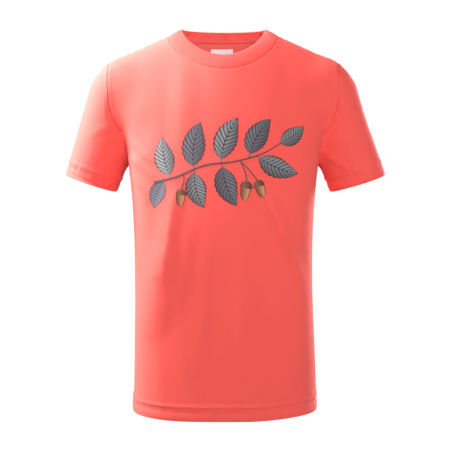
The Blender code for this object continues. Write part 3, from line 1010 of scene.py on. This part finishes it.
def nut_picture(look, v, u):
    colour = look.mix(look.band(v, -0.25, 0.85), TAN, BROWN)
    colour = look.mix(look.wave(u * 0.03 + v, 0.16) * 0.3, colour, BROWN)
    glint = look.band(v, -0.30, -0.42) * look.band(v, -0.66, -0.52)
    colour = look.mix(glint * 0.7, colour, GLINT)
    return colour, look.most(look.band(abs(v), 0.84, 0.92), look.band(u, 0.95, 0.975))


def cap_picture(look, v, u):
    scales = look.wave(v * 0.5 + u, 0.24) * look.wave(v * 0.5 - u, 0.24)
    light = look.mix(look.band(v, -0.4, 0.8), TAN, BROWN)
    return look.mix(look.band(scales, 0.08, 0.45), INK, light), look.band(abs(v), 0.84, 0.92)


# ---- The panels, the sleeves and the band


def seam_pull(p):
    """How far a seam's edge is pulled in for its fold: not at all in the valley of the lower armhole."""
    return (TURN - SEAM_BITE) * (1 - window(-p[..., 2], *VALLEY_LEVELS))


def body_sheet(side):
    base = BASES[side]
    up, across = measured(base)
    down, from_right = up[-1] - up, across[:, -1:] - across
    height = folds(base, BODY_FOLDS[side], np.minimum(np.minimum(across, from_right), down))
    for away, run, phase, share in (
        (across, up, 0.3, 1), (from_right, up, 1.9, 1), (down, across, 3.1, NECK_SHARE),
    ):
        height = height + share * seam_shape(away) + edge_waves(run, away, phase)
    height = height + hem_shape(up) + edge_waves(across, up - HEM_WIDTH, 4.4) + hem_flare(across, up)
    for away in (across, from_right):
        height = height + armhole_dip(base, away, DIP_REACH) + armhole_rim(base, away)
    grid = leaned(raised(base, height))
    if side > 0:
        grid, up, across = grid[:, ::-1], up[:, ::-1], from_right[:, ::-1]
    in_hem = up[:, 0] < HEM_WIDTH + HEM_MARGIN
    pulled_in(grid, "bottom", TURN)
    pulled_in(grid, "top", TURN - SEAM_BITE)
    pulled_in(grid, "left", np.where(in_hem, -HEM_BITE, seam_pull(grid[:, 0])))
    pulled_in(grid, "right", np.where(in_hem, -HEM_BITE, seam_pull(grid[:, -1])))
    sheet = Sheet(grid, across - across[:, -1:] / 2, up)
    hem_rows = int(np.searchsorted(up[:, 0], HEM_WIDTH)) + 2
    sheet.turn_under("bottom", HEM_WIDTH)
    for edge in ("left", "right"):
        sheet.turn_under(edge, ALLOWANCE, span=slice(hem_rows, len(grid) - SEAM_TOP_ROWS))
    sheet.turn_under("top", ALLOWANCE)
    return sheet


def sleeve_sheet(side):
    base = sleeve_grid()
    up, across = measured(np.concatenate((base, base[:, :1]), axis=1))
    up, across = up[:, :-1], across[:, :-1]
    down = up[-1] - up
    on_front = FOLD_BACK_SHARE + (1 - FOLD_BACK_SHARE) * smooth_step(base[..., 1], *FOLD_BACK_Y)
    height = folds(base, SLEEVE_FOLDS[side], down) * on_front + armhole_dip(base, down, SLEEVE_DIP_REACH)
    height = height + hem_shape(up) + seam_shape(down)
    height = height + edge_waves(across, down, 0.7) + edge_waves(across, up - HEM_WIDTH, 2.7)
    grid = raised(base, height)
    if side < 0:
        grid, up, across = mirrored(grid)[:, ::-1], up[:, ::-1], across[:, ::-1]
    grid = leaned(grid)
    pulled_in(grid, "bottom", TURN - SEAM_BITE)
    pulled_in(grid, "top", seam_pull(grid[-1]))
    sheet = Sheet(grid, across, up, closed=True)
    sheet.turn_under("bottom", HEM_WIDTH)
    sheet.turn_under("top", ALLOWANCE)
    return sheet


RIB_PITCH = 0.0017
RIB_HEIGHT = 0.00016
RIB_FADE = 0.001  # the ribs run out this near the folded edge
BAND_SWELL = 0.0009  # how far the middle of the band stands out
BAND_SINK = 0.0008  # how far it lies in at its seam
SINK_REACH = 0.0022
BAND_ROUNDING = 30  # how many points to each side the band's corners are rounded over


def band_edge(y, z):
    turn = np.linspace(0, np.pi, LINE_SAMPLES)
    swing = BAND_SIDE_Z + (z - BAND_SIDE_Z) * np.sin(turn) ** DIP_POWER
    return np.column_stack((-BAND_HALF_WIDTH * np.cos(turn), y * np.sin(turn), swing))


def ring(front, back):
    """A closed line made of a front half and a back half that share their ends."""
    front, back = [resample(line, BAND_CELLS // 2) for line in (front, back)]
    return np.vstack((front, back[-2:0:-1]))


def rounded(line, reach):
    """A closed line with its corners rounded over a number of points to each side."""
    weights = np.hanning(2 * reach + 3)[1:-1]
    shifts = range(-reach, reach + 1)
    return sum(w * np.roll(line, k, axis=0) for w, k in zip(weights, shifts)) / weights.sum()


def band_sheet():
    """The neck band, from its seam up to its folded edge, and the width of one of its ribs."""
    seam = ring(neck_seam(-1)[0], neck_seam(1)[0])
    edge = rounded(ring(band_edge(*BAND_FRONT), band_edge(*BAND_BACK)), BAND_ROUNDING)
    t = spread(BAND_ROWS)[:, None, None]
    grid = seam[None] * (1 - t) + edge[None] * t
    up, _ = measured(grid)
    run = length_along(np.vstack((seam, seam[:1])))
    ribs = round(run[-1] / RIB_PITCH)
    wave = np.cos(run[:-1] / run[-1] * 2 * np.pi * ribs) * smooth_step(up[-1:] - up, 0, RIB_FADE)
    bulge = BAND_SWELL * (1 - (2 * t[..., 0] - 1) ** 2) - BAND_SINK * (1 - smooth_step(up, 0, SINK_REACH))
    grid = leaned(grid + grid_normals(grid, True) * (bulge + RIB_HEIGHT * wave)[..., None])
    pulled_in(grid, "top", TURN)
    sheet = Sheet(grid, np.broadcast_to(run[:-1], up.shape), up, closed=True)
    sheet.turn_under("top", BAND_FACING)
    return sheet, run[-1] / ribs


# ---- Stitches: short threads that dip into the cloth at both ends

THREAD = 0.00022
STITCH_PITCH = 0.0030
STITCH_LENGTH = 0.0024
STITCH_PLACES = np.array((0, 0.12, 0.5, 0.88, 1))
STITCH_RISES = np.array((-0.9, 0.35, 0.7, 0.35, -0.9))
STITCH_GIRTHS = np.array((0.5, 1, 1, 1, 0.5))
STITCH_SIDES = 6


def line_across(grid, run, at):
    """The points across a grid where the distance along its columns reaches a value."""
    return np.array([interpolate(at, run[:, j], grid[:, j]) for j in range(grid.shape[1])])


def stitch_row(line, normals):
    """Points, UVs and faces of one row of stitches."""
    run = length_along(line)
    count = int(run[-1] / STITCH_PITCH)
    at = (np.arange(count)[:, None] + 0.1) * run[-1] / count + STITCH_LENGTH * STITCH_PLACES
    known = line, normals, np.gradient(line, run, axis=0)
    middle, out, heading = [interpolate(at, run, values)[:, :, None] for values in known]
    out, heading = unit(out), unit(heading)
    turn = np.arange(STITCH_SIDES)[:, None] * 2 * np.pi / STITCH_SIDES
    around = np.cross(heading, out) * np.cos(turn) + out * np.sin(turn)
    rise, girth = [THREAD * values[None, :, None, None] for values in (STITCH_RISES, STITCH_GIRTHS)]
    points = middle + out * rise + around * girth
    uvs = np.stack(np.broadcast_arrays(at[..., None], THREAD * turn[None, None, :, 0]), axis=-1)
    index = np.arange(points[..., 0].size).reshape(points.shape[:3])
    wide = np.concatenate((index, index[..., :1]), axis=-1)
    faces = [face for stitch in wide for face in grid_faces(stitch.T).tolist()]
    faces += index[:, 0].tolist() + index[:, -1, ::-1].tolist()
    return points.reshape(-1, 3), uvs.reshape(-1, 2), faces


def stitches(name, sheet, distances):
    """Rows of stitches across a sheet, at distances from its first row."""
    rows = []
    for at in distances:
        line, out = [line_across(values, sheet.up, at) for values in (sheet.grid, sheet.normals)]
        if sheet.closed:
            line, out = np.vstack((line, line[:1])), np.vstack((out, out[:1]))
        rows.append(stitch_row(line, out))
    made = bare_mesh(name + "_stitches", *merged(rows), THREAD_LOOK)
    made.data.shade_smooth()
    return finish_piece(made, "jersey")


# ---- Tapes and labels inside

TAPE_DEPTH = 0.0027  # how far below the outer face the tapes lie, over the seam allowances
NECK_TAPE_ROWS = np.linspace(0.0118, 0.0013, 9)  # down from the neck seam
SHOULDER_TAPE_ROWS = np.linspace(0.0052, 0.0006, 5)
NECK_TAPE_COLUMNS = 140
SHOULDER_TAPE_COLUMNS = 70
TAPE_END_TRIM = 0.25  # of a cell
SHOULDER_TAPE_TRIM = 0.4
NECK_TAPE_STITCHES = (0.0013, 0.0092)
SHOULDER_TAPE_STITCHES = (0.0014, 0.0090)
NECK_LABEL_DEPTH = 0.0042
NECK_LABEL_FOLD = 0.036
NECK_LABEL_LIFT = 0.0030  # how far its free end stands in from the back
CARE_LABEL_DEPTH = 0.0040
CARE_LABEL_FOLD = 0.040
CARE_LABEL_LIFT = 0.0040
LABEL_SEWN = 0.004  # the part at the seam that stays down
LABEL_ROWS = 44
NECK_LABEL_COLUMNS = 36
CARE_LABEL_COLUMNS = 26


def tape_line(side, down, places):
    """Points on a panel at a distance below its top edge, at the given columns."""
    up, _ = measured(BASES[side])
    line = line_across(BASES[side][::-1], (up[-1] - up)[::-1], down)
    return interpolate(places, body_columns(), line)


def neck_tape():
    trim = SHOULDER_CELLS + TAPE_END_TRIM
    places = np.linspace(trim, LAST_COLUMN - trim, NECK_TAPE_COLUMNS)
    rows = [tape_line(1, down, places) for down in NECK_TAPE_ROWS]
    return raised(np.array(rows), -TAPE_DEPTH)[:, ::-1]


def shoulder_tape(side):
    start = LAST_COLUMN - SHOULDER_CELLS + SHOULDER_TAPE_TRIM
    places = np.linspace(start, LAST_COLUMN - TAPE_END_TRIM, SHOULDER_TAPE_COLUMNS)
    rows =[tape_line(-1, down, places) for down in SHOULDER_TAPE_ROWS]
    rows += [tape_line(1, down, places) for down in SHOULDER_TAPE_ROWS[::-1]]
    grid = raised(np.array(rows), -TAPE_DEPTH)
    return grid[:, ::-1] if side > 0 else mirrored(grid)


def neck_label():
    half = NECK_LABEL_WIDTH / 2
    x = np.linspace(-half, half, NECK_LABEL_COLUMNS) + NECK_LABEL_SHIFT
    z = np.linspace(NECK_LABEL_TOP_Z - NECK_LABEL_LENGTH, NECK_LABEL_TOP_Z, LABEL_ROWS)
    a, b = np.meshgrid(x, z)
    grid = raised(cast(np.stack((a, 0 * a, b), axis=-1), (0, 1, 0)), -NECK_LABEL_DEPTH)
    free = smooth_step(NECK_LABEL_TOP_Z - grid[..., 2], LABEL_SEWN, NECK_LABEL_LENGTH)
    curl = 1 + 0.4 * np.cos(grid[..., 0] / NECK_LABEL_WIDTH * 2 * np.pi)
    grid[..., 1] -= NECK_LABEL_LIFT * free * curl
    return grid


def care_label():
    y = np.linspace(CARE_LABEL_Y, CARE_LABEL_Y - CARE_LABEL_WIDTH, CARE_LABEL_COLUMNS)
    z = np.linspace(CARE_LABEL_TOP_Z - CARE_LABEL_LENGTH, CARE_LABEL_TOP_Z, LABEL_ROWS)
    a, b = np.meshgrid(y, z)
    grid = raised(cast(np.stack((0 * a, a, b), axis=-1), (1, 0, 0)), -CARE_LABEL_DEPTH)
    grid[..., 0] -= CARE_LABEL_LIFT * smooth_step(-grid[..., 1], LABEL_SEWN, CARE_LABEL_WIDTH)
    return grid


def inner_sheet(grid):
    """A sheet laid inside: its rows go up, and its columns go across as seen from inside."""
    up, across = measured(grid)
    return Sheet(leaned(grid), across, up)


def label_piece(node, grid, fold):
    sheet = inner_sheet(grid)
    sheet.turn_under("bottom", fold, radius=LABEL_TURN)
    return finish_piece(sheet.mesh(node + "_satin", LABEL_THICK, LABEL_LOOK), "label", node)


# ---- The print on the chest: a sprig of leaves and acorns, laid on the front as thin ink

PRINT_CENTRE = (0.0040, -0.1870)
PRINT_FROM_Y = -0.4
INK_THICK = 0.00036
INK_PROUD = 0.00018
INK_STEP = 0.00003  # how much higher each leaf lies than the one before
STEM = ((-103, -30), (-70, -22), (-30, -6), (10, -1), (50, 10), (78, 26))  # x and z in millimetres
STEM_WIDTHS = (0.0017, 0.0008)
STALK_WIDTHS = (0.0007, 0.0009)
LEAVES = (  # base x and z in millimetres, heading and bend in degrees, length and width, whether pale
    (-78, -24, 118, -32, 60, 29, True),
    (-86, -27, 226, 44, 44, 24, False),
    (-46, -13, 98, -32, 70, 33, False),
    (-44, -12, -98, 44, 56, 29, True),
    (-8, -3, 86, -34, 70, 33, True),
    (-6, -3, -88, 34, 64, 31, False),
    (32, 5, 78, -36, 64, 31, False),
    (42, 8, -38, 30, 66, 29, True),
    (74, 24, 24, 22, 46, 24, True),
)
ACORNS = (  # the cap's base and where its stalk leaves the stem, x and z in millimetres, heading, size
    (28, -36, 20, 0, -100, 1.08),
    (46, -34, 20, 0, -70, 1.0),
    (-64, -46, -60, -18, -96, 0.95),
)
LEAF_ROWS = 56
LEAF_COLUMNS = 23
LEAF_STALK_SHARE = 0.09  # of the leaf's length
LEAF_LOBES = 8.5
LOBE_DEPTH = 0.05  # of the leaf's width
LEAF_LEAST = (0.00075, 0.00015)  # half width of the stalk and of the tip
NUT_SIZE = (0.0066, 0.0185)  # half width and length of an acorn of size 1
NUT_ROWS = 22
CAP_SIZE = (0.0078, 0.0095)
CAP_ROWS = 16
CAP_START = 0.0022  # from the cap's base toward the nut's tip
CAP_FOOT = 0.0065  # from the cap's base to its stalk
ACORN_COLUMNS = 17
STALK_ROWS = 40
STALK_COLUMNS = 5


def toward(heading):
    return np.stack((np.cos(np.radians(heading)), np.sin(np.radians(heading))), axis=-1)


def patch(middle, half_width, columns, height):
    """A patch of ink along a line (x, z), with its half width at each point, dropped onto the front."""
    heading = unit(np.gradient(middle, axis=0))
    v = np.linspace(-1, 1, columns)
    sideways = np.stack((heading[:, 1], -heading[:, 0]), axis=-1)
    flat = middle[:, None] + sideways[:, None] * (half_width[:, None] * v)[..., None] + PRINT_CENTRE
    points = []
    for x, z in flat.reshape(-1, 2):
        place, normal, _, _ = FRONT_TREE.ray_cast(Vector((x, PRINT_FROM_Y, z)), Vector((0, 1, 0)))
        points.append(place + normal * height)
    u = np.linspace(0, 1, len(middle))
    uvs = np.stack(np.broadcast_arrays(v[None], u[:, None]), axis=-1)
    index = np.arange(len(points)).reshape(u.size, v.size)
    return np.array(points), uvs.reshape(-1, 2), grid_faces(index).tolist()


def curve_from(base, heading, bend, length, count):
    """A line that starts at a point and turns by a bend on its way."""
    steps = toward(heading + bend * np.linspace(0, 1, count))[:-1] * length / (count - 1)
    return np.array(base) + np.vstack(((0, 0), np.cumsum(steps, axis=0)))


def leaf_patch(leaf, height):
    x, z, heading, bend, length, width, _ = leaf
    u = np.linspace(0, 1, LEAF_ROWS)
    blade = np.clip((u - LEAF_STALK_SHARE) / (1 - LEAF_STALK_SHARE), 0, 1)
    lobes = 1 + LOBE_DEPTH * np.sin(2 * np.pi * LEAF_LOBES * blade)
    outline = np.sin(np.pi * blade**0.80) ** 0.82 * lobes
    half = np.maximum(width * MM / 2 * outline, np.interp(blade, (0, 1), LEAF_LEAST))
    middle = curve_from((x * MM, z * MM), heading, bend, length * MM, len(u))
    return patch(middle, half, LEAF_COLUMNS, height)


def acorn_patch(start, heading, size, outline, rim, height):
    """A nut or a cap, from a start that lies between them toward its own end."""
    half_width, length = size
    middle = curve_from(start, heading, 0, length, len(outline))
    return patch(middle, half_width * outline + rim, ACORN_COLUMNS, height)


def nut_patch(acorn, height):
    x, z, _, _, heading, size = acorn
    outline = np.sqrt(np.maximum(1 - np.linspace(0, 1, NUT_ROWS) ** 2.6, 0))
    return acorn_patch((x * MM, z * MM), heading, np.array(NUT_SIZE) * size, outline, 0.0002, height)


def cap_patch(acorn, height):
    x, z, _, _, heading, size = acorn
    start = np.array((x, z)) * MM + CAP_START * size * toward(heading)
    u = np.linspace(0, 1, CAP_ROWS)
    outline = np.sqrt(np.maximum(1 - u**2.2, 0)) * (0.90 + 0.10 * smooth_step(u, 0, 0.15))
    return acorn_patch(start, heading + 180, np.array(CAP_SIZE) * size, outline, 0.0004, height)


def stalk_patch(points, widths, height):
    line = through(points, STALK_ROWS)
    half = np.interp(np.linspace(0, 1, len(line)), (0, 1), widths)
    return patch(line, half, STALK_COLUMNS, height)


def acorn_stalk(acorn, height):
    x, z, joint_x, joint_z, heading, size = acorn
    joint = np.array((joint_x, joint_z)) * MM
    foot = np.array((x, z)) * MM - CAP_FOOT * size * toward(heading)
    return stalk_patch((joint, (joint + foot) / 2 + (0.0015, 0), foot), STALK_WIDTHS, height)


def ink_piece(name, patches, *look):
    return finish_piece(solid_sheet(name, *merged(patches), INK_THICK, ink_look(*look)), "jersey")


def add_print():
    leaves = {True: [], False: []}
    for k, leaf in enumerate(LEAVES):
        leaves[leaf[-1]].append(leaf_patch(leaf, INK_PROUD + INK_STEP * k))
    stem, stalk, nut, cap = INK_PROUD + INK_STEP * (len(LEAVES) + np.arange(4))
    stems = [stalk_patch(np.array(STEM) * MM, STEM_WIDTHS, stem)] + [acorn_stalk(a, stalk) for a in ACORNS]
    nuts, caps = [nut_patch(a, nut) for a in ACORNS], [cap_patch(a, cap) for a in ACORNS]
    pale, grey = (PALE_BAND, 11, 0.20), (GREY_BAND, 10, 0.24)
    return [
        ink_piece("print_leaves_pale", leaves[True], "leaf_ink_pale", PALE_BAND, leaf_picture, *pale),
        ink_piece("print_leaves_grey", leaves[False], "leaf_ink_grey", GREY_BAND, leaf_picture, *grey),
        ink_piece("print_stems", stems, "stem_ink", SLATE, stem_picture),
        ink_piece("print_acorns", nuts, "acorn_ink", TAN, nut_picture),
        ink_piece("print_acorn_caps", caps, "acorn_cap_ink", BROWN, cap_picture),
    ]


# ---- Making everything


def cloth(node, sheet):
    return finish_piece(sheet.mesh(node + "_cloth", JERSEY_THICK, JERSEY_LOOK), "jersey", node)


def tape_piece(node, sheet):
    return finish_piece(sheet.mesh(node + "_twill", TAPE_THICK, TAPE_LOOK), "tape", node)


JERSEY_LOOK = jersey_look()
TAPE_LOOK = tape_look()
LABEL_LOOK = label_look()
THREAD_LOOK = thread_look()
BASES = {side: body_grid(side) for side in (-1, 1)}

PANELS = {
    "front_panel": body_sheet(-1), "back_panel": body_sheet(1),
    "left_sleeve": sleeve_sheet(1), "right_sleeve": sleeve_sheet(-1),
}
neck_sheet, rib_step = band_sheet()
front, back, left, right = [cloth(*panel) for panel in PANELS.items()]
band = finish_piece(neck_sheet.mesh("neck_band_rib", RIB_THICK, rib_look(rib_step)), "rib", "neck_band")
front_stitches, back_stitches, left_stitches, right_stitches = [
    stitches(name, sheet, HEM_STITCHES)
    for name, sheet in zip(("front_hem", "back_hem", "left_sleeve", "right_sleeve"), PANELS.values())
]

FRONT_TREE = BVHTree.FromPolygons(
    [v.co.copy() for v in front.data.vertices], [tuple(f.vertices) for f in front.data.polygons])
printed = add_print()

TAPES = {
    "neck_tape": inner_sheet(neck_tape()),
    "left_shoulder_tape": inner_sheet(shoulder_tape(1)),
    "right_shoulder_tape": inner_sheet(shoulder_tape(-1)),
}
TAPE_STITCHES = (NECK_TAPE_STITCHES, SHOULDER_TAPE_STITCHES, SHOULDER_TAPE_STITCHES)
tape, left_tape, right_tape = [tape_piece(*one) for one in TAPES.items()]
tape_stitches, left_tape_stitches, right_tape_stitches = [
    stitches(*one, distances) for one, distances in zip(TAPES.items(), TAPE_STITCHES)
]
neck_tag = label_piece("neck_label", neck_label(), NECK_LABEL_FOLD)
care_tag = label_piece("care_label", care_label(), CARE_LABEL_FOLD)

[front_stitches] + printed

# ---- Floor, lights and camera

PHOTO_SIZE = 450
METRES_PER_PIXEL = 0.0015
CAMERA_AWAY = 1.6
CAMERA_Z = -0.20
AXIS_PIXEL = (223.5, 170.3)
SENSOR = 36.0
FLOOR_Z = -2.4  # low enough that the shirt can be looked at from below
FLOOR_SIZE = 80
FLOOR_GLOW = 0.85
ROOM_LIGHT = 0.25
ROOM_SEEN = 1.05
LIGHTS = (  # name, place, aim, size, watts
    ("key", (-0.86, 0.03, 0.56), (0, 0, -0.20), (0.45, 0.45), 67),
    ("front", (0.20, -1.7, 0.10), (0, 0, -0.10), (0.8, 0.5), 21),
    ("side", (1.7, -0.25, -0.20), (0, 0, -0.30), (1.0, 1.0), 4),
    ("rim", (0.95, 1.35, -0.05), (0, 0, -0.30), (0.7, 0.7), 46),
    ("back", (-0.6, 1.9, 0.30), (0, 0, -0.25), (1.2, 1.2), 6),
    ("inside", (0, -0.04, -0.30), (0, 0.05, 0), (0.10, 0.08), 0.38),
)


def add_camera():
    data = bpy.data.cameras.new("camera")
    data.sensor_width = SENSOR
    data.lens = SENSOR * (CAMERA_AWAY / METRES_PER_PIXEL) / PHOTO_SIZE
    data.shift_x = (PHOTO_SIZE / 2 - AXIS_PIXEL[0]) / PHOTO_SIZE
    data.shift_y = (AXIS_PIXEL[1] - PHOTO_SIZE / 2) / PHOTO_SIZE
    camera = linked("camera", data)
    camera.location = (0, -CAMERA_AWAY, CAMERA_Z)
    camera.rotation_euler = (np.pi / 2, 0, 0)
    bpy.context.scene.camera = camera


def add_light(name, place, aim, size, watts):
    data = bpy.data.lights.new(name, "AREA")
    data.shape = "RECTANGLE"
    data.size, data.size_y = size
    data.energy = watts
    made = linked(name, data)
    made.location = place
    made.rotation_euler = (Vector(aim) - Vector(place)).to_track_quat("-Z", "Y").to_euler()
    made.visible_camera = False


def add_floor():
    bpy.ops.mesh.primitive_plane_add(size=FLOOR_SIZE, location=(0, 0, FLOOR_Z))
    floor = bpy.context.object
    floor.name = "floor"
    glow = dict(Specular_IOR_Level=0.1, Emission_Color=(1, 1, 1), Emission_Strength=FLOOR_GLOW)
    floor.data.materials.append(Look("floor_white", (0.8, 0.8, 0.8), 0.9, **glow).material)
    floor.visible_diffuse = False


def add_world():
    """A white studio all round: it is seen pure white, and lights the shirt a little less."""
    world = bpy.data.worlds.new("studio")
    bpy.context.scene.world = world
    world.use_nodes = True
    nodes, links = world.node_tree.nodes, world.node_tree.links
    seen = nodes.new("ShaderNodeLightPath")
    strength = nodes.new("ShaderNodeMapRange")
    strength.inputs["To Min"].default_value = ROOM_LIGHT
    strength.inputs["To Max"].default_value = ROOM_SEEN
    links.new(seen.outputs["Is Camera Ray"], strength.inputs["Value"])
    links.new(strength.outputs["Result"], nodes["Background"].inputs["Strength"])
    nodes["Background"].inputs["Color"].default_value = (1, 1, 1, 1)


bpy.context.scene.view_settings.view_transform = "Standard"
add_world()
add_floor()
for light in LIGHTS:
    add_light(*light)
add_camera()
